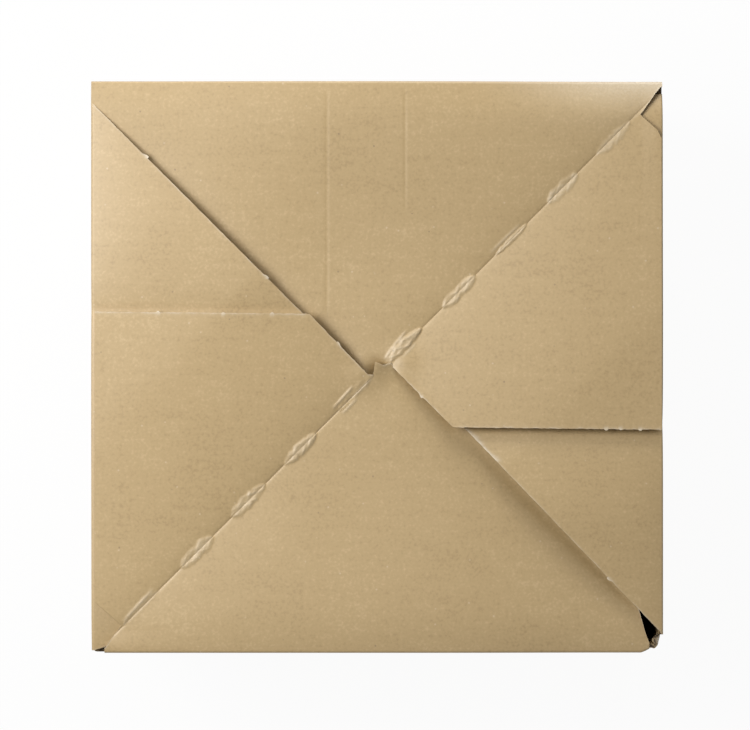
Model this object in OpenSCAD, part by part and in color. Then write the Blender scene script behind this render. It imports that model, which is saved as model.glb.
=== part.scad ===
// Square corrugated box with an automatic-lock base, folded from one sheet.
// It stands base up on its open rim: X and Y run along the walls, Z runs up,
// and the origin is the middle of the rim's plane.

/* [Box] */
// Outside width of the square box
box_w = 220; // [180:1:320]
// Height from the rim to the fold lines of the base
box_h = 140; // [110:1:300]
// Thickness of the corrugated board
board = 1.6; // [1.2:0.1:2.4]
// Inside radius of every fold
fold_inner = 0.4; // [0.2:0.1:1.5]
// Width of the glue lap inside the back-left corner
lap_w = 32; // [20:1:45]
// Slant of the lap's two ends, in degrees
lap_slant = 15; // [0:1:30]
// Gap beside the raw edge where the sheet is joined
joint_gap = 0.8; // [0.4:0.1:1.5]

/* [Base panels] */
// Place of the lock along X, from the middle of the base
lock_x = 1.2; // [-3:0.1:3]
// Place of the lock along Y, from the middle of the base
lock_y = -1.2; // [-3:0.1:3]
// How far each glued wing reaches past the lock
wing_reach = 22; // [16:1:40]
// Setback of each wing from the wall that it is folded towards
wing_inset = 2; // [1.5:0.1:4]
// Distance of each wing's diagonal edge from the lock
tip_cut = 4.3; // [3.5:0.1:6]
// Distance of the flat end of each wing's tip from the lock
nose = 2; // [1:0.1:2.5]
// Setback of the notch at each crease's outer end from the walls
notch_setback = 11.2; // [9:0.1:16]
// Setback of the back panel's fold from the back-right corner
heel_back = 0.6; // [0.5:0.1:6]
// Setback of the front panel's fold from the front-left corner
heel_front = 5.2; // [0.5:0.1:6]
// Distance from a fold over which a panel rises or dips
rise_run = 13; // [12:0.5:20]
// Start of each panel's ramp, before the lock
ramp_low = 20.5; // [15:0.5:30]
// End of each panel's ramp, past the lock
ramp_high = 9.6; // [6:0.1:14]
// How far a panel tucks in under the side flap beside it
tuck = 12; // [6:1:20]
// Width of the tongue that holds the lock
tongue_w = 3; // [2:0.1:3.4]
// Length of the tongue past the lock
tongue_l = 3.2; // [2.5:0.1:5]

/* [Side flaps] */
// Distance of each side flap's diagonal edge from the lock
side_cut = 6; // [5:0.1:12]
// Setback of the right flap's fold from the back-right corner
end_right = 4; // [3:0.1:8]
// Setback of the left flap's fold from the front-left corner
end_left = 1.6; // [1:0.1:8]
// Share of the notch's edge that a side flap follows
notch_share = 0.75; // [0.5:0.05:0.75]

/* [Perforated creases] */
// Distance from the lock to the first swollen stretch of a crease
swell_start = 13.4; // [10:0.1:20]
// Pitch of the swollen stretches
swell_pitch = 28.8; // [20:0.1:40]
// Length of one swollen stretch
swell_l = 17; // [8:0.5:18]
// Width of one swollen stretch
swell_w = 4.6; // [2:0.1:6]
// Height of one swollen stretch over its panel
swell_h = 0.6; // [0.2:0.1:1]
// Width of the cuts between the swollen stretches
cut_w = 0.6; // [0.3:0.1:1]
// Depth of those cuts
cut_depth = 0.7; // [0.3:0.1:1]

/* [Crushed corner] */
// How far the front-right corner is pushed in along each wall
crush_w = 7.2; // [3:0.1:12]
// How far the crushing reaches down the corner
crush_h = 16; // [8:1:40]

/* [Fits] */
// Air between two layers that are not glued
slack = 0.3; // [0.1:0.05:0.6]
// How far a glued face is pressed into its neighbour
glue_press = 0.1; // [0.05:0.05:0.2]

/* [Hidden] */
half = box_w / 2;
fold_r = fold_inner + board;
plate_end = half - fold_r;
inside = half - board - slack;
lock = [lock_x, lock_y];
level_low = -(board + slack);
level_high = board - glue_press;
tip = tip_cut * sqrt(2);
side = side_cut * sqrt(2);
gap = slack * sqrt(2);
tucked = side + tuck * sqrt(2);
apex = half - notch_setback;
lap_drop = 2 * board + fold_r + slack;
past = 1;
kraft = [0.74, 0.65, 0.49];
$fn = 48;

// A point given from the lock; sign is 1 for the back and right pieces, -1 for the front and left ones.
function from_lock(sign, x, y) = lock + sign * [x, y];

// The point where the diagonal x + y = sum, measured from the lock, has the given X or Y.
function diagonal_at_x(sign, sum, x) = [x, lock_y + sign * sum - (x - lock_x)];
function diagonal_at_y(sign, sum, y) = [lock_x + sign * sum - (y - lock_y), y];

// The notch at the outer end of a crease: its apex and the two ends of its edges.
function notch_apex(sign) = from_lock(sign, apex, apex);
function notch_fold_end(sign, heel) = sign * [half - heel, plate_end];
function notch_wing_end(sign) =
    let (x = sign * (half - wing_inset), a = notch_apex(sign))
    [x, a.y - (x - a.x)];

module rounded_square(width, radius) {
    square([width, width - 2 * radius], center = true);
    square([width - 2 * radius, width], center = true);
    for (x = [-1, 1], y = [-1, 1])
        translate((width / 2 - radius) * [x, y]) circle(radius);
}

// The plane of the crushed corner leans out until it meets the corner's own edge.
module beyond_crush(inset) {
    lean = atan2(crush_w / sqrt(2), crush_h);
    translate([half - crush_w / 2, crush_w / 2 - half, box_h])
        rotate([0, -lean, -45])
            translate([-inset, -box_w, -box_h])
                cube([box_w, 2 * box_w, 2 * box_h]);
}

module wall_tube() {
    linear_extrude(box_h - fold_r) difference() {
        rounded_square(box_w, fold_r);
        rounded_square(box_w - 2 * board, fold_inner);
    }
}

module walls() {
    difference() {
        wall_tube();
        beyond_crush(0);
        // The raw edge where the sheet's two ends meet.
        translate([-half - past, plate_end - joint_gap, -past])
            cube([board + past, joint_gap, box_h + 2 * past]);
    }
    crushed_board();
    glue_lap();
}

// Board of the crushed corner, folded in behind the plane of the crushing.
module crushed_board() {
    intersection() {
        linear_extrude(box_h - fold_r) rounded_square(box_w, fold_r);
        translate([half - 2 * crush_w, -half, box_h - crush_h])
            cube([2 * crush_w, 2 * crush_w, crush_h]);
        difference() {
            beyond_crush(board);
            beyond_crush(0);
        }
    }
}

module glue_lap() {
    lap_h = box_h - lap_drop;
    slant = lap_w * tan(lap_slant);
    translate([-half + board - glue_press, half - board, 0])
        rotate([90, 0, 90])
            linear_extrude(board) polygon([
                [board / 2, 0], [-lap_w, slant], [-lap_w, lap_h - slant], [board / 2, lap_h]]);
}

// One rounded fold along a wall's top, from x = from to x = to as seen with that wall at the back.
module fold(angle, from, to) {
    rotate([0, 0, angle]) translate([from, plate_end, box_h - fold_r]) rotate([90, 0, 90])
        linear_extrude(to - from) intersection() {
            difference() {
                circle(fold_r);
                circle(fold_inner);
            }
            square(fold_r);
        }
}

// A base panel dips under the side flap on one side of the lock and rises over the one on the other.
module bent_sheet(sign) {
    across = [-sign * half, lock_x - sign * ramp_low, lock_x + sign * ramp_high, sign * half];
    along = [sign * plate_end, sign * (half - rise_run), lock_y - sign * (wing_reach + past)];
    levels = [level_low, level_low, level_high, level_high];
    columns = len(across);
    rows = len(along);
    count = columns * rows;
    function at(i, j) = i + columns * j;
    top = [for (j = [0:rows - 1], i = [0:columns - 1]) [across[i], along[j], j == 0 ? 0 : levels[i]]];
    faces = [
        for (j = [0:rows - 2], i = [0:columns - 2])
            let (a = at(i, j), b = at(i + 1, j), c = at(i + 1, j + 1), d = at(i, j + 1))
            each [[a, b, c], [a, c, d], [a, c, b] + count * [1, 1, 1], [a, d, c] + count * [1, 1, 1]],
        for (i = [0:columns - 2])
            let (a = at(i, 0), b = at(i + 1, 0), c = at(i, rows - 1), d = at(i + 1, rows - 1))
            each [[a, a + count, b + count, b], [c, d, d + count, c + count]],
        for (j = [0:rows - 2])
            let (a = at(0, j), b = at(0, j + 1), c = at(columns - 1, j), d = at(columns - 1, j + 1))
            each [[a, b, b + count, a + count], [c, c + count, d + count, d]]];
    translate([0, 0, box_h])
        polyhedron([each top, for (p = top) p - [0, 0, board]], faces, convexity = 4);
}

// Outline of a base panel with its wing; the part that hides under the next flap is trimmed to stay clear.
module panel_outline(sign, heel) {
    back = sign * (half - rise_run);
    polygon([
        notch_fold_end(sign, heel),
        notch_apex(sign),
        notch_wing_end(sign),
        [sign * (half - wing_inset), lock_y - sign * wing_reach],
        from_lock(sign, tip + wing_reach, -wing_reach),
        from_lock(sign, tip - nose, nose),
        from_lock(sign, 0, nose),
        from_lock(sign, -tongue_w + slack, slack - nose),
        from_lock(sign, nose - tip + gap, slack - nose),
        from_lock(sign, -ramp_high, ramp_high - tip + gap),
        from_lock(sign, -tucked / 2, -tucked / 2),
        diagonal_at_x(sign, -tucked, -sign * inside),
        [-sign * inside, back - sign * rise_run / 2],
        diagonal_at_y(sign, gap - side, back),
        diagonal_at_x(sign, gap - side, -sign * (half - slack)),
        sign * [slack - half, plate_end]]);
}

// The tongue of the front panel stands in the back panel's cut at the lock.
module tongue_outline(clear) {
    translate(lock) polygon([
        [-tongue_w + 2 * slack - clear, -nose - clear],
        [slack - tongue_w / 2 - clear, tongue_l + clear],
        [slack, nose + clear],
        [tip - nose - gap, nose - slack],
        [slack, -nose]]);
}

module base_panel(sign, heel) {
    intersection() {
        translate([0, 0, box_h / 2]) linear_extrude(box_h) {
            panel_outline(sign, heel);
            if (sign < 0) tongue_outline(0);
        }
        bent_sheet(sign);
    }
    fold(sign > 0 ? 0 : 180, slack - half + (sign < 0 ? crush_w : 0), half - heel);
}

// Swollen stretches of a perforated crease, standing on the panel.
module swellings(sign) {
    bow = (swell_l * swell_l + swell_w * swell_w) / (4 * swell_w);
    last = floor((sqrt(2) * apex - swell_l - swell_start) / swell_pitch);
    for (i = [0:last])
        on_crease(sign, swell_start + i * swell_pitch)
            translate([0, 0, box_h + level_high - board]) linear_extrude(board + swell_h)
                intersection() {
                    translate([0, bow - swell_w / 2]) circle(bow);
                    translate([0, swell_w / 2 - bow]) circle(bow);
                }
}

// Cuts of a perforated crease, between the swollen stretches.
module crease_cuts(sign) {
    length = swell_pitch - swell_l;
    last = floor((sqrt(2) * apex - swell_start) / swell_pitch);
    for (i = [0:last])
        on_crease(sign, swell_start + (i + 0.5) * swell_pitch)
            translate([-length / 2, -cut_w / 2, box_h + level_high - cut_depth])
                cube([length, cut_w, board]);
}

module on_crease(sign, distance) {
    translate(lock) rotate(sign > 0 ? 45 : 225) translate([distance, 0]) children();
}

// A side flap runs from its fold to its diagonal edge, and on under the wing that is glued to it.
module flap_outline(sign, end) {
    notch = notch_fold_end(sign, sign > 0 ? heel_back : heel_front) - notch_apex(sign);
    polygon([
        diagonal_at_x(sign, side, sign * plate_end),
        from_lock(sign, ramp_low + slack, side - ramp_low - slack),
        from_lock(sign, apex - rise_run / 2, apex - rise_run),
        notch_apex(sign) + sign * [slack, -slack],
        notch_apex(sign) + notch_share * notch + sign * [2 * slack, -slack],
        sign * [plate_end, half - end]]);
}

module side_flap(sign, end) {
    translate([0, 0, box_h - board]) linear_extrude(board) flap_outline(sign, end);
    edge_end = abs(diagonal_at_x(sign, side, sign * plate_end).y);
    fold(-90 * sign, end - half, edge_end);
}

module box() {
    color(kraft) {
        walls();
        side_flap(1, end_right);
        side_flap(-1, end_left);
        difference() {
            union() {
                base_panel(1, heel_back);
                swellings(1);
            }
            crease_cuts(1);
            translate([0, 0, box_h / 2]) linear_extrude(box_h) tongue_outline(slack);
        }
        difference() {
            union() {
                base_panel(-1, heel_front);
                swellings(-1);
            }
            crease_cuts(-1);
        }
    }
}

box();
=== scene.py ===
import bmesh
import bpy
import numpy as np
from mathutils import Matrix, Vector


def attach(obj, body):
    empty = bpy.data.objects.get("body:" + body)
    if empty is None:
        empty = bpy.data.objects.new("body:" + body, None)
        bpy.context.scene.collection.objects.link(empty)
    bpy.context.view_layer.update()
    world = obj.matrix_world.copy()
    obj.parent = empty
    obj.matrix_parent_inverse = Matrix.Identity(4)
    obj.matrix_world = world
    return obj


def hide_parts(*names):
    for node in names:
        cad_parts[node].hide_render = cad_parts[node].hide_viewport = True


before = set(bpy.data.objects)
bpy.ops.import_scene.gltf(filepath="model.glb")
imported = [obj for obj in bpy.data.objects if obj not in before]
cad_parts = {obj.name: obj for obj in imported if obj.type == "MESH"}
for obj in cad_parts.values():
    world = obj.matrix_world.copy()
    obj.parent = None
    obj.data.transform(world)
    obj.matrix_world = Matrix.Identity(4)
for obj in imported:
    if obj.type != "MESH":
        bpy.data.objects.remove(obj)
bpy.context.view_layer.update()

# Walls
# The four walls are one strip of corrugated board, folded at the corners and closed by a glue lap inside the
# left wall. The board is a fluted sheet between two brown kraft liners. The front-right corner is crushed.

MM = 0.001
ROOT_2 = np.sqrt(2)
HALF = 110.0
BOARD = 1.6
BASE = 140.0
WALL_TOP = BASE - 8.0
NOISE_CELLS = 1024


def smooth(low, high, value):
    """Smooth step: with t the share of the way from low to high, 3 t squared less 2 t cubed."""
    t = np.clip((value - low) / (high - low), 0, 1)
    return t * t * (3 - 2 * t)


def ragged(place, seed, grain):
    """Seeded noise along a line: random heights from -1 to 1, one grain apart, joined by smooth steps."""
    heights = np.random.default_rng(seed).uniform(-1, 1, NOISE_CELLS)
    cell = np.floor(place / grain).astype(int)
    part = smooth(0, 1, place / grain - cell)
    return heights[cell % NOISE_CELLS] * (1 - part) + heights[(cell + 1) % NOISE_CELLS] * part


EVERY = slice(None)
CUT_ALL_ROUND = {"low": EVERY, "high": EVERY, "first": EVERY, "last": EVERY}
MERGE = 0.002 * MM


def board_patch(outside, inside, across, wear_and_highlight, cuts):
    """A stretch of board: a grid of points outside, one inside, and a strip between them along each cut side.

    cuts gives, for a side of the grid, which of its steps are cut. across runs over the flutes, in mm."""
    rows, columns = outside.shape[:2]
    count = rows * columns
    index = np.arange(count).reshape(rows, columns)
    skin = np.stack([index[:-1, :-1], index[:-1, 1:], index[1:, 1:], index[1:, :-1]], -1).reshape(-1, 4)
    borders = {
        "low": (index[0], 1),
        "last": (index[:, -1], 1),
        "high": (index[-1], -1),
        "first": (index[:, 0], -1)}
    strips = []
    for side, steps in cuts.items():
        border, turn = borders[side]
        start = border[:-1][steps]
        end = border[1:][steps]
        strips.append(np.stack([end, start, start + count, end + count], -1)[:, ::turn])
    return {
        "points": np.concatenate([outside.reshape(-1, 3), inside.reshape(-1, 3)]),
        "skin": np.concatenate([skin, skin[:, ::-1] + count]),
        "strips": np.concatenate(strips),
        "across": np.tile(across.ravel(), 2),
        "depth": np.repeat([0.0, 1.0], count),
        "wear_and_highlight": np.concatenate([wear_and_highlight.ravel(), np.zeros(count)])}


def board_piece(name, patches):
    """One piece of the box: its patches put end to end in one mesh, with the points they share merged."""
    sizes = [len(patch["points"]) for patch in patches]
    starts = np.cumsum([0] + sizes[:-1])
    points = np.concatenate([patch["points"] for patch in patches]) * MM
    skin = np.concatenate([patch["skin"] + start for patch, start in zip(patches, starts)])
    strips = np.concatenate([patch["strips"] + start for patch, start in zip(patches, starts)])
    is_cut = np.repeat([False, True], [len(skin), len(strips)])
    mesh = bpy.data.meshes.new(name)
    mesh.from_pydata(points, [], np.concatenate([skin, strips]).tolist())
    mesh.polygons.foreach_set("use_smooth", ~is_cut)
    mesh.materials.append(kraft_liner)
    mesh.materials.append(cut_edge)
    mesh.polygons.foreach_set("material_index", is_cut.astype(np.int32))
    for label in ("across", "depth", "wear_and_highlight"):
        values = np.concatenate([patch[label] for patch in patches])
        mesh.attributes.new(label, "FLOAT", "POINT").data.foreach_set("value", values.astype(np.float32))
    merged = bmesh.new()
    merged.from_mesh(mesh)
    bmesh.ops.remove_doubles(merged, verts=merged.verts, dist=MERGE)
    merged.to_mesh(mesh)
    merged.free()
    piece = bpy.data.objects.new(name, mesh)
    bpy.context.scene.collection.objects.link(piece)
    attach(piece, "root")
    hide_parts("box")


class Wire:
    """One socket in a material's nodes. Arithmetic on values adds Math nodes."""

    def __init__(self, tree, socket=None):
        self.tree = tree
        self.socket = socket

    def node(self, kind, settings, inputs, output=0):
        """A node of any kind: its settings come first, then values or wires for its sockets."""
        made = self.tree.nodes.new(kind)
        for name, value in settings.items():
            setattr(made, name, value)
        for name, value in inputs.items():
            if isinstance(value, Wire):
                self.tree.links.new(value.socket, made.inputs[name])
            else:
                made.inputs[name].default_value = value
        return Wire(self.tree, made.outputs[output])

    def math(self, operation, first, second=0.0):
        return self.node("ShaderNodeMath", {"operation": operation}, {0: first, 1: second})

    def __add__(self, other):
        return self.math("ADD", self, other)

    def __sub__(self, other):
        return self.math("SUBTRACT", self, other)

    def __mul__(self, other):
        return self.math("MULTIPLY", self, other)

    def __rsub__(self, other):
        return self.math("SUBTRACT", other, self)

    def step(self, low, high):
        """0 below low and 1 above high, with a smooth step between them."""
        return self.node("ShaderNodeMapRange", {"interpolation_type": "SMOOTHSTEP"},
                         {"Value": self, "From Min": low, "From Max": high})

    def colour(self, off, on):
        """The colour that this value mixes, from off at 0 to on at 1."""
        return self.node("ShaderNodeMix", {"data_type": "RGBA"}, {0: self, 6: off, 7: on}, 2)

    def feed(self, shader, name):
        self.tree.links.new(self.socket, shader.inputs[name])


def paper(name, roughness):
    """A new paper material: the material, its shader, and a wire to build its nodes from."""
    material = bpy.data.materials.new(name)
    material.use_nodes = True
    shader = material.node_tree.nodes["Principled BSDF"]
    shader.inputs["Roughness"].default_value = roughness
    shader.inputs["Specular IOR Level"].default_value = 1.0
    return material, shader, Wire(material.node_tree)


def noise(wire, place, size, detail):
    """Noise whose features are about the given size in metres. Its middle value is 0.5."""
    return wire.node("ShaderNodeTexNoise", {}, {"Vector": place, "Scale": 1 / size, "Detail": detail})


def flecks(wire, place, pitch, share, radius):
    """Small soft spots of one radius: a share of the cells of a random pattern, a pitch wide, hold one each."""
    settings = {"feature": "F1"}
    inputs = {"Vector": place, "Scale": 1 / pitch}
    distance = wire.node("ShaderNodeTexVoronoi", settings, inputs, "Distance")
    cell = wire.node("ShaderNodeTexVoronoi", settings, inputs, "Color")
    pick = wire.node("ShaderNodeSeparateColor", {}, {"Color": cell})
    spot = 1 - distance.step(0.5 * radius / pitch, radius / pitch)
    return spot * pick.step(1 - share, 1 - 0.5 * share)


# Liner: cloudy brown, with streaks, flecks of bark and bleached pulp, a faint washboard, and fuzz where worn,
# whose pale colour also paints a highlight on the back fold's right end.
KRAFT = (0.495, 0.346, 0.158, 1)
KRAFT_PALE = (0.582, 0.42, 0.21, 1)
KRAFT_DARK = (0.408, 0.277, 0.118, 1)
FLECK_DARK = (0.2, 0.13, 0.06, 1)
FLECK_PALE = (0.72, 0.6, 0.42, 1)
FUZZ_AND_HIGHLIGHT = (0.76, 0.65, 0.48, 1)
FLUTE_PITCH = 3.3
FLUTE_TURN = 2 * np.pi / FLUTE_PITCH
STREAK_STRETCH = (0.12, 1, 1)
MIDDLE = 0.5
CLOUD_TONE = 0.6
BLOTCH_TONE = 0.45
MOTTLE_TONE = 1.3
STREAK_TONE = 0.4
FLUTE_TONE = 0.016
BARK_STRENGTH = 0.55
PULP_STRENGTH = 0.4
FUZZ_LEAST = 0.35
MOTTLE_RELIEF = 0.00006
FLUTE_RELIEF = 0.000005
FUZZ_RELIEF = 0.0002
kraft_liner, liner_shader, liner = paper("kraft_liner", roughness=0.5)
liner_place = liner.node("ShaderNodeTexCoord", {}, {}, "Object")
liner_across = liner.node("ShaderNodeAttribute", {"attribute_name": "across"}, {}, "Fac")
liner_wear_and_highlight = liner.node("ShaderNodeAttribute", {"attribute_name": "wear_and_highlight"}, {}, "Fac")
clouds = noise(liner, liner_place, size=0.03, detail=3.0)
mottle = noise(liner, liner_place, size=0.0011, detail=3.0)
flute_wave = liner.math("SINE", liner_across * FLUTE_TURN)
blotches = noise(liner, liner_place, size=0.004, detail=2.0)
drawn_out = liner.node("ShaderNodeVectorMath", {"operation": "MULTIPLY"}, {0: liner_place, 1: STREAK_STRETCH})
streaks = noise(liner, drawn_out, size=0.003, detail=2.0)
tone = (clouds - MIDDLE) * CLOUD_TONE + (blotches - MIDDLE) * BLOTCH_TONE + (mottle - MIDDLE) * MOTTLE_TONE
tone = tone + (streaks - MIDDLE) * STREAK_TONE + flute_wave * FLUTE_TONE + MIDDLE
brown = tone.step(MIDDLE, 1.0).colour(tone.step(0.0, MIDDLE).colour(KRAFT_DARK, KRAFT), KRAFT_PALE)
bark = flecks(liner, liner_place, pitch=0.007, share=0.35, radius=0.0005)
brown = (bark * BARK_STRENGTH).colour(brown, FLECK_DARK)
pulp = flecks(liner, liner_place, pitch=0.0045, share=0.3, radius=0.0005)
brown = (pulp * PULP_STRENGTH).colour(brown, FLECK_PALE)
fuzz = noise(liner, liner_place, size=0.0007, detail=2.0)
# Pale fuzz where the liner is worn, and the same pale colour as a painted highlight on the back fold's right
# end.
brown = (liner_wear_and_highlight * (fuzz + FUZZ_LEAST)).colour(brown, FUZZ_AND_HIGHLIGHT)
brown.feed(liner_shader, "Base Color")
grain_height = mottle * MOTTLE_RELIEF + flute_wave * FLUTE_RELIEF + liner_wear_and_highlight * fuzz * FUZZ_RELIEF
grain = liner.node("ShaderNodeBump", {}, {"Height": grain_height, "Strength": 0.6, "Distance": 1.0})
grain.feed(liner_shader, "Normal")

# Cut edge: the two liners, the wave of the fluted sheet between them, and painted shade in the hollow flutes.
EDGE_PAPER = (0.42, 0.31, 0.17, 1)
FLUTE_HOLLOW_SHADE = (0.07, 0.045, 0.024, 1)
WAVE_SWING = 0.36
WAVE_RIM = (0.1, 0.2)
LINER_RIM = (0.3, 0.38)
cut_edge, edge_shader, edge = paper("cut_edge", roughness=0.95)
edge_across = edge.node("ShaderNodeAttribute", {"attribute_name": "across"}, {}, "Fac")
edge_depth = edge.node("ShaderNodeAttribute", {"attribute_name": "depth"}, {}, "Fac")
wave_middle = edge.math("SINE", edge_across * FLUTE_TURN) * WAVE_SWING + MIDDLE
off_wave = edge.math("ABSOLUTE", edge_depth - wave_middle)
off_middle = edge.math("ABSOLUTE", edge_depth - MIDDLE)
is_paper = edge.math("MAXIMUM", off_middle.step(*LINER_RIM), 1 - off_wave.step(*WAVE_RIM))
# Painted shade: where there is no paper, the hollow flutes are painted near black.
is_paper.colour(FLUTE_HOLLOW_SHADE, EDGE_PAPER).feed(edge_shader, "Base Color")

WALL_BOW = 0.5
CORNER_R = 2.0
STRAIGHT = HALF - CORNER_R
CLOSE_FROM = 90.0
WIDE_TO = 87.0
SEAM = 109.3
LAP_W = 32.0
LAP_SLANT = 0.27
LAP_DROP = 1.2
LAP_GAP = 0.05
CRUSH_W = 7.5
CRUSH_H = 30.0
CRUSH_IN = 3.8
CRUSH_RUCK = 0.35
CRUSH_LEAN = 0.6
CRUSH_LIFT = 1.5
CRUSH_RAG = 1.3
CRUSH_STUB = 3.6
STUB_RIM = (5.1, 3.7)
CRUSH_WORN = 0.5
WORN_DEPTH = (10, 3)


def wall_run(low, high):
    """Places along one straight wall, close together near its two ends."""
    places = np.r_[np.linspace(-STRAIGHT, -CLOSE_FROM, 31), np.linspace(-WIDE_TO, WIDE_TO, 48),
                   np.linspace(CLOSE_FROM, STRAIGHT, 31)]
    return np.r_[low, places[(places > low) & (places < high)], high]


def wall_path():
    """The outside of the walls from above: four straight runs, each turned on a quarter turn, joined by arcs.

    The lap follows the last arc, inside the left wall. Gives points, outward normals and places on the lap."""
    bend = np.linspace(0, np.pi / 2, 9)[1:-1]
    ends = [(-SEAM, STRAIGHT), (-STRAIGHT, STRAIGHT), (-STRAIGHT, STRAIGHT), (-STRAIGHT, STRAIGHT - BOARD)]
    points = []
    normals = []
    for quarter, (low, high) in enumerate(ends):
        run = wall_run(low, high)
        side = np.stack([np.r_[run, high + CORNER_R * np.sin(bend)],
                         np.r_[np.full(len(run), -HALF), CORNER_R - HALF - CORNER_R * np.cos(bend)]], -1)
        out = np.stack([np.r_[np.zeros(len(run)), np.sin(bend)],
                        np.r_[-np.ones(len(run)), -np.cos(bend)]], -1)
        turn = np.radians(90 * (quarter - 1))
        spin = np.array([[np.cos(turn), np.sin(turn)], [-np.sin(turn), np.cos(turn)]])
        points.append(side @ spin)
        normals.append(out @ spin)
    lap = np.linspace(0, LAP_W, 17)
    points.append(np.stack([np.full(len(lap), BOARD - HALF + LAP_GAP), STRAIGHT - lap], -1))
    normals.append(np.tile([-1.0, 0.0], (len(lap), 1)))
    on_lap = np.r_[np.zeros(sum(len(part) for part in points[:-1])), lap]
    return np.concatenate(points), np.concatenate(normals), on_lap


def make_walls():
    """Walls: the path carried up from the rim, bowed a little at mid height, pushed in at the crushed corner.

    The crushed corner's top is ragged, and a stub of its fold stands up beside the base panel's end."""
    path, normal, on_lap = wall_path()
    across = np.r_[0, np.cumsum(np.hypot(*np.diff(path, axis=0).T))]
    is_lap = np.arange(len(path)) >= len(path) - np.count_nonzero(on_lap) - 1
    to_crush = np.hypot(path[:, 0] - HALF, path[:, 1] + HALF)
    crushed = np.where(is_lap, 0, 1 - smooth(0, CRUSH_W + 1, to_crush))
    top = WALL_TOP - is_lap * (LAP_DROP + LAP_SLANT * on_lap)
    top = top + crushed * (CRUSH_LIFT + CRUSH_RAG * ragged(across, seed=3, grain=1.3))
    top = top + np.where(is_lap, 0, CRUSH_STUB * smooth(*STUB_RIM, to_crush))
    foot = is_lap * LAP_SLANT * on_lap
    share = np.r_[np.linspace(0, 0.86, 26), np.linspace(0.87, 1, 24)]
    z = foot + (top - foot) * share[:, None]
    middle = 1 - (np.clip(np.abs(path).min(1), 0, HALF) / HALF) ** 2
    bow = WALL_BOW * np.where(is_lap, 0, middle) * np.sin(np.pi * z / BASE)
    dent = CRUSH_IN * crushed * smooth(BASE - CRUSH_H, BASE - 2, z)
    dent = dent * (1 + CRUSH_RUCK * ragged(across + CRUSH_LEAN * z, seed=5, grain=2.1))
    push = np.stack([-dent, dent, np.zeros_like(dent)], -1) / ROOT_2
    flat = np.concatenate([normal, np.zeros((len(path), 1))], 1)
    around = np.concatenate([path, np.zeros((len(path), 1))], 1)
    outside = around + flat * -bow[..., None] + push
    outside[..., 2] = z
    inside = outside - BOARD * flat
    flutes = np.broadcast_to(across, z.shape)
    low, high = WORN_DEPTH
    wear_and_highlight = np.broadcast_to(CRUSH_WORN * crushed, z.shape) * smooth(BASE - low, BASE - high, z)
    board_piece("walls", [board_patch(outside, inside, flutes, wear_and_highlight, CUT_ALL_ROUND)])


make_walls()

# Side flaps
# The left and right flaps fold in from their walls and lie under the wings of the front and back panels,
# which are glued to them. Each is a triangle of the same board, cut at 45 degrees, with its flutes along X.

FOLD_REACH = 90
FOLD_STEPS = 9001
FOLD_ROWS = 13


def fold_section(length, soft, tail):
    """A fold's section from its wall inwards: the slope falls from upright over a length, then along a tail.

    soft is the tail's first slope in degrees. Gives distances in from the wall, with the drop below the base
    and the slope at each, and the distances of the fold's rows."""
    s = np.linspace(0, FOLD_REACH, FOLD_STEPS)
    slope = np.radians((90 - soft) * (1 - smooth(0, length, s)) + soft * np.exp(-s / tail))
    inset = np.r_[0, np.cumsum(np.cos(slope[:-1])) * s[1]]
    rise = np.r_[0, np.cumsum(np.sin(slope[:-1])) * s[1]]
    rows = np.interp(np.linspace(length, 0, FOLD_ROWS), s, inset)
    return {"inset": inset, "drop": rise[-1] - rise, "slope": slope, "rows": rows}


GLUED = BOARD + 0.03
END_DROP = 1.2
END_RUN = (-25, -90)
SINK_RUN = 78.0
BACK_CREASE = 2.5
FRONT_CREASE = -2.0
BACK_SINK = 1.8
LOCK_SINK = 3.4
RIGHT_RISE = 0.4
FRONT_SINK = 3.8
LEFT_RISE = 0.6


def back_sink(p):
    """How far the back panel sinks past its fold: most beside the lock, and least towards its left end."""
    return -BACK_SINK - LOCK_SINK * smooth(-80, -10, p) + RIGHT_RISE * smooth(0, 60, p)


def front_sink(p):
    """How far the front panel sinks past its fold: most on the side that lies under the right flap."""
    return -FRONT_SINK + LEFT_RISE * smooth(0, 40, p)


def panel_level(sink, p, q):
    """Height of a base panel over the base: lower at the end under a side flap, and sinking from its fold."""
    return -END_DROP * smooth(*END_RUN, p) + smooth(0, SINK_RUN, HALF - q) * sink(p)


COVER_EDGE = 7.0
LEAN_TIP = (4, -14)
LEAN_FOLD = 25


def tucked(lean, p, q):
    """How far a panel bends down under the 45 degree edge that covers it: a depth that dies away over a run.

    Along that edge the depth grows from nothing at one place to the whole at another. It fades at the
    panel's tip and at its fold."""
    depth, run, end, full = lean
    off_edge = np.maximum((p + q + COVER_EDGE) / ROOT_2, 0)
    ends = smooth(*LEAN_TIP, p - q) * smooth(end, full, p)
    return depth * np.exp(-off_edge / run) * ends * smooth(0, LEAN_FOLD, HALF - q)


WING_RUN = 60.0
WING_REST = 1.2
WING_EASE = 1.25


def wing_level(sink, crease, p, q):
    """Height of a wing over the base: the panel's at the crease, then an easing rise to lie on a side flap."""
    foot = (p + q + crease) / 2
    low = panel_level(sink, foot, foot - crease)
    rise = 1 - (1 - np.clip((p - q - crease) / ROOT_2 / WING_RUN, 0, 1)) ** WING_EASE
    return low + (WING_REST - low) * rise


SHOULDER_RUN = 15.0


def shoulder_drop(fold, shoulder, p, q):
    """How far a base panel falls towards its wall: its fold's section, and a shoulder that dies away."""
    section = np.interp(HALF - q, fold["inset"], fold["drop"])
    return section + shoulder(p) * smooth(SHOULDER_RUN, -SHOULDER_RUN / 3, HALF - q)


CREASE_TUCK = 0.35
CREASE_RUN = 6
SAG_AT = -22
SAG_RUN = 7
LIFT_RUN = 22
LIFT_FROM = (-24, -62)


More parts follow.
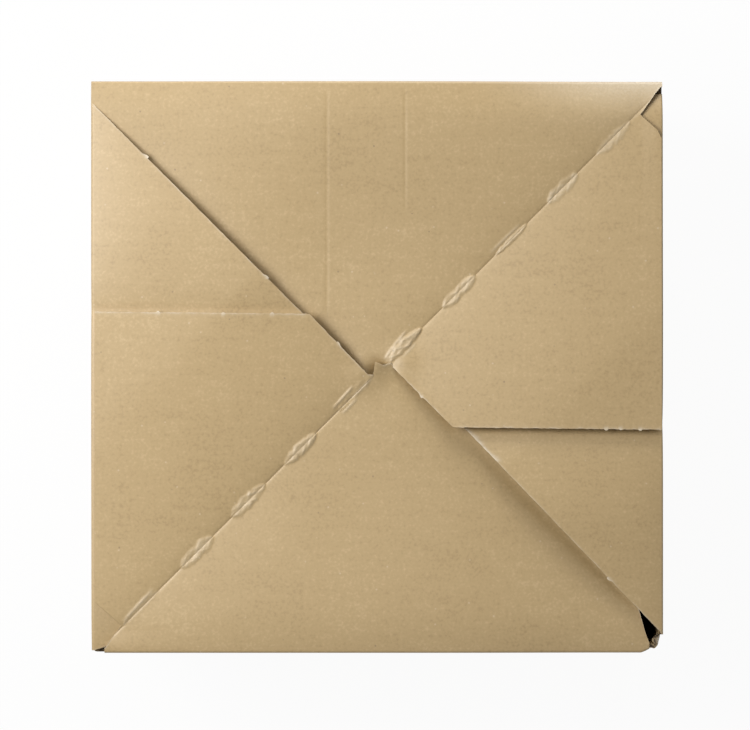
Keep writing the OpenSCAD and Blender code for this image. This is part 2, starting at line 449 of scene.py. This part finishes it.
def flap_level(sink, crease, sag, lift, p, q):
    """Height of a side flap over the base: a board under the wing, tucked down at the wing's crease.

    It sags along the wing's cut edge. Past that edge it rises by a lift, from its fold to its own cut edge."""
    tuck = CREASE_TUCK * np.exp(-np.abs(p - q - crease) / ROOT_2 / CREASE_RUN)
    raised = lift * (1 - np.exp(-(HALF - p) / LIFT_RUN)) * smooth(*LIFT_FROM, q)
    return wing_level(sink, crease, p, q) - GLUED - tuck - sag * np.exp(-np.abs(q - SAG_AT) / SAG_RUN) + raised


def tab(place, spots, width):
    """Small tabs along a cut, torn when the blank was broken out: a narrow bump at each spot."""
    return sum(height * np.exp(-((place - spot) / width) ** 4) for spot, height in spots)


def frayed(fringe, run, place, pale, seed, grain):
    """Paleness beside a cut: dies away over a run from the cut, and varies along it around its own value."""
    return np.exp(-fringe / run) * (pale + 0.4 * ragged(place, seed, grain))


def torn_tabs(fringe, run, place, nicks, width):
    """Paleness of the small tabs along a cut: each dies away over a run from the cut."""
    return tab(place, [(spot, 1.0) for spot, _ in nicks], width) * np.exp(-(fringe / run) ** 2)


END_STEP = 0.06
FLAP_ROWS = 1.1
FLAP_COLUMNS = 70
FLAP_RAG = 0.1
LEAST_END = 0.05


def make_side_flap(name, turn, fold, sink, crease, sag, lift, over, edge_q, edge_p, nicks, seed, torn):
    """A side flap: rows along its fold, each from the cut edge to the fold and down to the wall's top.

    p runs to the flap's own wall and q along it. turn is 1 for the right flap and -1 for the left. over is
    the fold and shoulder of the panel that covers the flap's far end, which bends down with them. torn gives
    the two ends and the depth of a stretch where the cut edge's liner is torn."""
    nick_rows = [spot + step for spot, _ in nicks for step in np.linspace(-1.4, 1.4, 15)]
    first, last = edge_q[0], edge_q[-1]
    end_rows = [first + END_STEP, last - END_STEP]
    q = np.unique(np.r_[np.arange(first, last, FLAP_ROWS), end_rows, edge_q, nick_rows])
    start = np.interp(q, edge_q, edge_p) + FLAP_RAG * ragged(q, seed, grain=0.8) - tab(q, nicks, width=0.7)
    part = np.linspace(0, 1, FLAP_COLUMNS) ** 1.4
    start = np.minimum(start, HALF - LEAST_END)
    flat_end = np.maximum(HALF - fold["rows"][0], start + 0.01)
    bend = np.maximum(HALF - fold["rows"], start[:, None] + np.linspace(0.01, 0.04, FOLD_ROWS))
    level = start[:, None] + (flat_end - start)[:, None] * part[:-1]
    p = np.concatenate([level, bend, np.full((len(q), 1), HALF)], 1)
    row = np.broadcast_to(q[:, None], p.shape)
    distance = HALF - p
    slope = np.interp(distance, fold["inset"], fold["slope"])
    z = BASE + flap_level(sink, crease, sag, lift, p, row) - np.interp(distance, fold["inset"], fold["drop"])
    z = np.maximum(z - shoulder_drop(*over, p, row), WALL_TOP)
    z[:, -1] = WALL_TOP
    outside = np.stack([turn * p, turn * row, z], -1)
    out = np.stack([turn * np.sin(slope), np.zeros_like(slope), np.cos(slope)], -1)
    fringe = p - start[:, None]
    wear_and_highlight = frayed(fringe, 0.35, row, pale=0.5, seed=seed + 1, grain=2.3)
    wear_and_highlight = wear_and_highlight + torn_tabs(fringe, 1.3, row, nicks, width=0.8)
    low, high, deep = torn
    patchy = smooth(low, low + 2, row) * smooth(high, high - 2, row)
    deep = deep * (1 + 0.6 * ragged(row, seed + 3, grain=0.9))
    wear_and_highlight = wear_and_highlight + patchy * np.exp(-(fringe / deep) ** 2) * (0.9 + 0.5 * ragged(row, seed + 2, grain=0.7))
    board_piece(name, [board_patch(outside, outside - BOARD * out, row, np.clip(wear_and_highlight, 0, 1), CUT_ALL_ROUND)])


back_fold = fold_section(length=2.2, soft=7.0, tail=6.0)
front_fold = fold_section(length=2.0, soft=8.0, tail=9.0)
BACK_SHOULDER = 0.6
RIGHT_SHOULDER = 4.0
FRONT_SHOULDER = 0.5


def back_shoulder(p):
    """The back panel's shoulder: deeper towards its right end."""
    return BACK_SHOULDER + RIGHT_SHOULDER * smooth(0, 105, p)


def front_shoulder(p):
    """The front panel's shoulder: even along its fold."""
    return np.full_like(p, FRONT_SHOULDER)


make_side_flap(
    "right_flap",
    turn=1,
    fold=fold_section(length=1.6, soft=4.0, tail=6.0),
    sink=back_sink,
    crease=BACK_CREASE,
    sag=3.2,
    lift=2.6,
    over=(back_fold, back_shoulder),
    edge_q=[-102.8, -23.8, -13.0, 80.0, 92.0, 99.0, 103.5, 105.2],
    edge_p=[109.9, 34.0, 23.5, 84.0, 90.0, 95.0, 99.5, 103.0],
    nicks=[(-81.4, 0.9)],
    seed=11,
    torn=(-37.0, -23.0, 1.9))
make_side_flap(
    "left_flap",
    turn=-1,
    fold=fold_section(length=2.2, soft=5.0, tail=14.0),
    sink=front_sink,
    crease=FRONT_CREASE,
    sag=1.2,
    lift=1.3,
    over=(front_fold, front_shoulder),
    edge_q=[-101.9, -20.0, -11.0, 82.0, 96.0, 105.4, 107.0, 109.2],
    edge_p=[109.9, 27.9, 18.5, 90.0, 95.5, 102.0, 102.6, 109.1],
    nicks=[(-81.0, 1.1), (-34.7, 0.9)],
    seed=21,
    torn=(-60.0, -58.0, 0.3))

# Back and front panels
# Each base panel folds in from its wall, dips under one side flap, and carries on past a perforated crease as
# a wing that is glued over the other. Their tips hook together at the lock. The board's flutes run along Y.

BANK = 0.85
SLIT_DEPTH = 0.2
SLIT_W = 0.4
GROOVE = 0.12
GROOVE_W = 0.25
WRINKLE = 0.7
RIDGE_W = 0.6
RIDGE_PALE = 0.3


def crease_relief(along, aside, banks, islands, crumples, seed):
    """Relief and paleness of a perforated crease, from the distance along it and aside from it.

    Between islands it is a cut at the foot of two banks, the main panel's and the wing's, of their own
    lengths. An island is a stretch where the liner came loose: a raised patch with ragged borders, a groove
    along its middle and fine wrinkles, that tapers to its ends. A crumple is a rounded ridge along a line."""
    wrinkles = ragged(0.9 * along + 1.7 * aside, seed + 1, grain=1.2)
    wrinkles = (wrinkles + ragged(1.1 * along - 2.1 * aside, seed + 2, grain=0.9)) / 2
    bank = -BANK * np.exp(-np.abs(aside) / np.where(aside < 0, banks[0], banks[1]))
    relief = bank - SLIT_DEPTH * np.exp(-np.abs(aside) / SLIT_W)
    raised = np.zeros_like(along)
    pale = np.zeros_like(along)
    for middle, length, low, high, height, whiteness in islands:
        taper = np.clip(1 - np.abs((along - middle) / (length / 2)) ** 3, 0, 1) ** 0.7
        half = (high - low) / 2 * taper * (1 + 0.25 * ragged(along, seed, grain=1.3)) + 0.05
        share = np.abs(aside - (low + high) / 2 * taper) / half
        soft = np.clip(0.9 / half, 0.15, 0.8)
        patch = (1 - smooth(1 - soft, 1 + soft, share)) * smooth(0, 0.3, taper)
        patch = patch * (0.8 + 0.2 * ragged(along + aside, seed + 3, grain=2.2))
        groove = np.exp(-(share / GROOVE_W) ** 2)
        relief = relief * (1 - np.clip(2.4 * height, 0, 0.85) * patch)
        raised = raised + height * patch * (0.5 - GROOVE * groove + WRINKLE * wrinkles)
        pale = pale + whiteness * patch * (0.85 + 0.6 * wrinkles)
    for along_1, aside_1, along_2, aside_2, height in crumples:
        run = along_2 - along_1
        drift = aside_2 - aside_1
        part = ((along - along_1) * run + (aside - aside_1) * drift) / (run ** 2 + drift ** 2)
        part = np.clip(part, 0, 1)
        off = np.hypot(along - along_1 - part * run, aside - aside_1 - part * drift)
        ridge = np.exp(-(off / RIDGE_W) ** 2) * np.sqrt(np.clip(4 * part * (1 - part), 0, 1))
        raised = raised + height * ridge
        pale = pale + RIDGE_PALE * ridge
    return relief + raised, pale


SCORE_W = 0.5
SCORE_FADE = 4


def scores(p, q, lines):
    """Shallow pressed lines along the flutes: each has its place across, its two ends and its depth."""
    sunk = np.zeros_like(p)
    for place, low, high, depth in lines:
        ends = smooth(low - SCORE_FADE, low + SCORE_FADE, q) * smooth(high + SCORE_FADE, high - SCORE_FADE, q)
        sunk = sunk - depth * ends * np.exp(-((p - place) / SCORE_W) ** 2)
    return sunk


COLUMNS = np.r_[np.arange(-HALF + 0.3, -24, 1.6), np.arange(-24, -6, 0.6), np.arange(-6, 6, 0.2),
                np.arange(6, HALF, 0.45)]
CREASE_ROWS = 25
CREASE_BAND = 6.0
HEM = 3.0
RELIEF_FADE = (1, 9)
TONGUE_FADE = (2.5, 7)
PRESSED_RUN = (-102.0, -104.8)
PRESSED_DEPTH = (8, 1)
PANEL_RAG = 0.08
WING_RAG = 0.12
# Painted highlight at a fold's end: its run along the fold and its depth in from the wall.
PAINTED_HIGHLIGHT_RUN = (35, 108)
PAINTED_HIGHLIGHT_DEPTH = 7.5
CLOSER = 1.5


def make_panel(name, turn, crease, fold, sink, lean, low_edge, crease_end, notch, wing_notch, wing_low, banks,
               islands, crumples, lines, dips, shoulder, painted_rim_highlight, pressed, nicks, seed):
    """A base panel with its wing, as two grids that meet along the crease, the line q = p - crease.

    p runs along the panel's wall and q towards it; turn is 1 for the back panel and -1 for the front. The
    main grid's columns run from the cut edge or the crease to the fold and down to the wall's top, and the
    wing's from its cut edge to the crease. Heights add the panel's level, the crease's relief, scores and
    dips, and a dip of negative depth is a rise. The rim argument is a painted highlight: how pale the liner is
    painted at the fold's end with the higher p. pressed is how far the fold's other end is pushed in."""
    edge = np.array(low_edge + crease_end + notch)
    wing_low = np.array(wing_low)
    wing_high = np.array(low_edge[-1:] + crease_end + wing_notch)
    tip = low_edge[-1][0]
    apex = crease_end[-1][0]
    wing_end = wing_low[-1, 0]
    keys = np.r_[edge[:, 0], edge[0, 0] + END_STEP, edge[-1, 0] - END_STEP]
    wing_keys = np.r_[wing_low[:, 0], wing_end - END_STEP, wing_high[:, 0]]
    columns = np.unique(np.round(np.r_[COLUMNS, keys, wing_keys], 3))
    on_wing = columns[(columns >= tip) & (columns <= wing_end)]
    columns = columns[(columns >= edge[0, 0]) & (columns <= edge[-1, 0])]

    def surface(p, q, height):
        """Points outside and inside the board at a height over the base, and the crease's paleness there."""
        along = (p + q) / ROOT_2
        aside = (p - q - crease) / ROOT_2
        distance = HALF - q
        clear = smooth(*RELIEF_FADE, distance) * smooth(*RELIEF_FADE, HALF - p) * smooth(*TONGUE_FADE, along)
        relief, pale = crease_relief(along, aside, banks, islands, crumples, seed)
        dipped = sum(deep * np.exp(-((p - a) ** 2 + (q - b) ** 2) / reach ** 2) for a, b, reach, deep in dips)
        slope = np.interp(distance, fold["inset"], fold["slope"])
        z = BASE + height + clear * relief + scores(p, q, lines) - dipped - shoulder_drop(fold, shoulder, p, q)
        push = pressed * smooth(*PRESSED_RUN, p) * smooth(*PRESSED_DEPTH, distance)
        outside = np.stack([turn * p, turn * (q - push), z], -1)
        out = np.stack([np.zeros_like(slope), turn * np.sin(slope), np.cos(slope)], -1)
        return outside, outside - BOARD * out, clear * pale

    start = np.interp(columns, edge[:, 0], edge[:, 1])
    is_cut = (columns < tip) | (columns > apex)
    start = start + is_cut * PANEL_RAG * ragged(columns, seed + 1, grain=0.8)
    flat_end = HALF - fold["rows"][0]
    start = np.minimum(start, flat_end - 0.3)
    near = np.minimum(CREASE_BAND, 0.5 * (flat_end - start))
    far = np.linspace(0, 1, 32)[1:-1, None] ** CLOSER
    q = np.concatenate([start + near * np.linspace(0, 1, CREASE_ROWS)[:, None],
                        start + near + (flat_end - start - near) * far,
                        np.tile(HALF - fold["rows"][:, None], (1, len(columns))),
                        np.full((1, len(columns)), HALF)])
    p = np.broadcast_to(columns, q.shape)
    outside, inside, pale = surface(p, q, panel_level(sink, p, q) - tucked(lean, p, q))
    inside[-1, :, 2] = outside[-1, :, 2] = WALL_TOP
    wear_and_highlight = pale + is_cut * frayed(q - start, 0.35, p, pale=0.5, seed=seed + 2, grain=2.3)
    # Painted highlight: the liner is painted pale along the back fold's right end, where light catches the rim.
    wear_and_highlight = wear_and_highlight + painted_rim_highlight * smooth(*PAINTED_HIGHLIGHT_RUN, p) * np.exp(-(HALF - q) / PAINTED_HIGHLIGHT_DEPTH)
    cuts = {"low": is_cut[:-1] | is_cut[1:], "high": EVERY, "first": EVERY, "last": EVERY}
    main = board_patch(outside, inside, p, np.clip(wear_and_highlight, 0, 1), cuts)

    low = np.interp(on_wing, wing_low[:, 0], wing_low[:, 1])
    torn = WING_RAG * ragged(on_wing, seed + 3, grain=0.7) * smooth(tip, tip + 3, on_wing)
    low = low + torn - tab(on_wing, nicks, width=0.6)
    high = np.interp(on_wing, wing_high[:, 0], wing_high[:, 1])
    low = np.minimum(low, high)
    hem = np.minimum(HEM, 0.3 * (high - low))
    near = np.minimum(CREASE_BAND, 0.4 * (high - low))
    far = 1 - (1 - np.linspace(0, 1, 24)[:-1, None]) ** CLOSER
    q = np.concatenate([low + hem * np.linspace(0, 1, 8)[:-1, None] ** CLOSER,
                        low + hem + (high - near - low - hem) * far,
                        high - near * np.linspace(1, 0, CREASE_ROWS)[:, None]])
    p = np.broadcast_to(on_wing, q.shape)
    outside, inside, pale = surface(p, q, wing_level(sink, crease, p, q))
    fringe = q - low
    wear_and_highlight = pale + frayed(fringe, 0.4, p, pale=0.55, seed=seed + 4, grain=1.9)
    wear_and_highlight = wear_and_highlight + torn_tabs(fringe, 1.2, p, nicks, width=0.7)
    cuts = {"low": EVERY, "high": on_wing[1:] > apex, "last": EVERY}
    wing = board_patch(outside, inside, p, np.clip(wear_and_highlight, 0, 1), cuts)
    board_piece(name, [main, wing])


make_panel(
    "back_panel",
    turn=1,
    crease=BACK_CREASE,
    fold=back_fold,
    sink=back_sink,
    lean=(1.6, 6.0, -140.0, -60.0),
    low_edge=[(-109.95, 98.8), (-80, 55.5), (-26, 1.5), (-17, -8), (-13, -5), (-9.5, 2.6), (-3.5, -5.5),
              (-1, -6), (1.2, -3.5), (2.2, -0.5), (3.2, 0.7)],
    crease_end=[(97.0, 94.5), (101.3, 97.0)],
    notch=[(107.7, 106.0), (109.3, 107.9), (109.9, 108.0)],
    wing_notch=[(107.8, 90.9), (109.1, 88.0)],
    wing_low=[(3.2, 0.7), (5.3, 0.62), (29.3, -23.2), (109.3, -24.1)],
    banks=(6.5, 16.0),
    islands=[(12.9, 19.5, -2.2, 1.1, 0.36, 0.35), (42.9, 17.5, -1.6, 1.9, 0.26, 0.4),
             (71.3, 17, -0.6, 0.9, 0.2, 0.35), (99.2, 16, -2.0, 2.2, 0.15, 0.5),
             (126.7, 18, -1.2, 2.4, 0.1, 0.38)],
    crumples=[(3.0, -1.5, 10.0, -2.8, 0.3), (9.0, -2.7, 18.0, -3.6, 0.25), (10.0, 2.5, 17.0, 2.4, 0.12),
              (62.0, -2.0, 78.0, -1.8, 0.12)],
    lines=[(-19.3, 22, 105, 0.14), (10.8, 62, 107, 0.12)],
    dips=[(1.0, -3.0, 5.0, 3.2), (9.0, 2.0, 6.0, -1.0)],
    shoulder=back_shoulder,
    painted_rim_highlight=0.8,
    pressed=0.0,
    nicks=[(17.0, 0.9), (88.0, 0.5), (93.5, 0.4), (101.0, 0.5)],
    seed=31)
make_panel(
    "front_panel",
    turn=-1,
    crease=FRONT_CREASE,
    fold=front_fold,
    sink=front_sink,
    lean=(2.7, 7.5, -130.0, -85.0),
    low_edge=[(-104.8, 107.5), (-100.7, 93), (-98, 86), (-80, 54), (-24, 0), (-17, -5.5), (-13, -1.5),
              (-9.5, 2.8), (-5.4, -1.5), (-3.4, -1.0), (-2.66, -0.7), (0.65, -1.93), (1.45, 2.6), (1.6, 3.6)],
    crease_end=[(96.0, 98.0), (98.4, 99.2)],
    notch=[(104.3, 107.8), (104.8, 108.0)],
    wing_notch=[(108.3, 90.2)],
    wing_low=[(1.6, 2.9), (3.5, 2.85), (26, -20.4), (108.3, -21.2)],
    banks=(16.0, 5.0),
    islands=[(12.9, 19, -1.2, 2.2, 0.1, 0.05), (43.2, 17, -2.0, 1.9, 0.27, 0.33),
             (71.4, 18, -1.9, 2.3, 0.27, 0.4), (99.3, 17, -2.1, 2.3, 0.2, 0.36),
             (129.8, 19, -0.8, 2.2, 0.06, 0.22)],
    crumples=[(3.8, -0.2, 15.0, -0.3, 0.2), (11.5, 2.7, 23.5, 2.1, 0.3), (14.0, -1.8, 22.0, -1.9, 0.2),
              (121.0, 2.0, 138.0, 1.2, 0.15)],
    lines=[(-15.8, 15, 36, 0.06)],
    dips=[(0.2, -2.0, 3.6, -0.8), (5.0, 4.0, 6.0, -0.9)],
    shoulder=front_shoulder,
    painted_rim_highlight=0.0,
    pressed=1.4,
    nicks=[(14.7, 0.9), (40.3, 0.5), (59.0, 0.35), (84.0, 0.5)],
    seed=51)

# Studio
# A pale floor that keeps the box's shadow, a soft lamp up to the left, one low behind, and a white surround.
# The camera looks straight down at the base from 1.2 metres above it.

FLOOR_SIZE = 6.0
FLOOR_GLOW = 0.95
FLOOR_WHITE = (0.9, 0.9, 0.9, 1)
WHITE = (1, 1, 1, 1)
floor_corners = np.array([(-1, -1, 0), (1, -1, 0), (1, 1, 0), (-1, 1, 0)]) * FLOOR_SIZE / 2
floor_mesh = bpy.data.meshes.new("floor")
floor_mesh.from_pydata(floor_corners, [], [(0, 1, 2, 3)])
floor = bpy.data.objects.new("floor", floor_mesh)
bpy.context.scene.collection.objects.link(floor)


def seen_directly(wire):
    """1 for what the camera sees straight, in a reflection or through glass, and 0 for light that bounces."""
    light_path = {name: wire.node("ShaderNodeLightPath", {}, {}, name)
                  for name in ("Is Camera Ray", "Is Glossy Ray", "Is Transmission Ray")}
    camera_or_glossy = wire.math("MAXIMUM", light_path["Is Camera Ray"], light_path["Is Glossy Ray"])
    return wire.math("MAXIMUM", camera_or_glossy, light_path["Is Transmission Ray"])


def off_centre(wire, place, axis):
    """Distance from the middle along one axis."""
    return wire.math("ABSOLUTE", wire.node("ShaderNodeSeparateXYZ", {}, {"Vector": place}, axis))


# Floor: matt under the box, and glowing outside its footprint where the camera sees it.
floor_paper, floor_shader, ground = paper("floor_paper", roughness=0.9)
floor_shader.inputs["Base Color"].default_value = FLOOR_WHITE
ground_place = ground.node("ShaderNodeTexCoord", {}, {}, "Object")
ground_x = off_centre(ground, ground_place, "X")
ground_y = off_centre(ground, ground_place, "Y")
is_outside = ground.math("GREATER_THAN", ground.math("MAXIMUM", ground_x, ground_y), HALF * MM)
glow = ground.node("ShaderNodeEmission", {}, {"Color": WHITE, "Strength": 1.0})
matt = Wire(ground.tree, floor_shader.outputs["BSDF"])
glow_share = seen_directly(ground) * is_outside * FLOOR_GLOW
floor_look = ground.node("ShaderNodeMixShader", {}, {0: glow_share, 1: matt, 2: glow})
floor_look.feed(floor_paper.node_tree.nodes["Material Output"], "Surface")
floor_mesh.materials.append(floor_paper)

FILL = 0.12
surround = bpy.data.worlds.new("surround")
surround.use_nodes = True
sky = Wire(surround.node_tree)
background = surround.node_tree.nodes["Background"]
background.inputs["Color"].default_value = WHITE
(seen_directly(sky) * (1 - FILL) + FILL).feed(background, "Strength")
bpy.context.scene.world = surround


def soft_lamp(name, place, size, power):
    """A square soft lamp that faces the middle of the base."""
    light = bpy.data.lights.new(name, "AREA")
    light.energy = power
    light.size = size
    lamp = bpy.data.objects.new(name, light)
    lamp.location = place
    towards = Vector((0, 0, BASE * MM)) - Vector(place)
    lamp.rotation_euler = towards.to_track_quat("-Z", "Y").to_euler()
    bpy.context.scene.collection.objects.link(lamp)


soft_lamp("lamp_left", place=(-0.45, 0.14, 0.64), size=0.42, power=4.35)
soft_lamp("lamp_back", place=(0.05, 0.95, 0.40), size=0.45, power=5.0)

CAMERA_HEIGHT = 1.2
CAMERA_OFF = 0.77 * MM
VIEW_WIDTH = 0.2880
SENSOR = 36.0
camera_lens = bpy.data.cameras.new("camera")
camera_lens.sensor_width = SENSOR
camera_lens.lens = SENSOR * CAMERA_HEIGHT / VIEW_WIDTH
camera = bpy.data.objects.new("camera", camera_lens)
camera.location = (-CAMERA_OFF, CAMERA_OFF, BASE * MM + CAMERA_HEIGHT)
bpy.context.scene.collection.objects.link(camera)
bpy.context.scene.camera = camera
bpy.context.scene.view_settings.view_transform = "Standard"
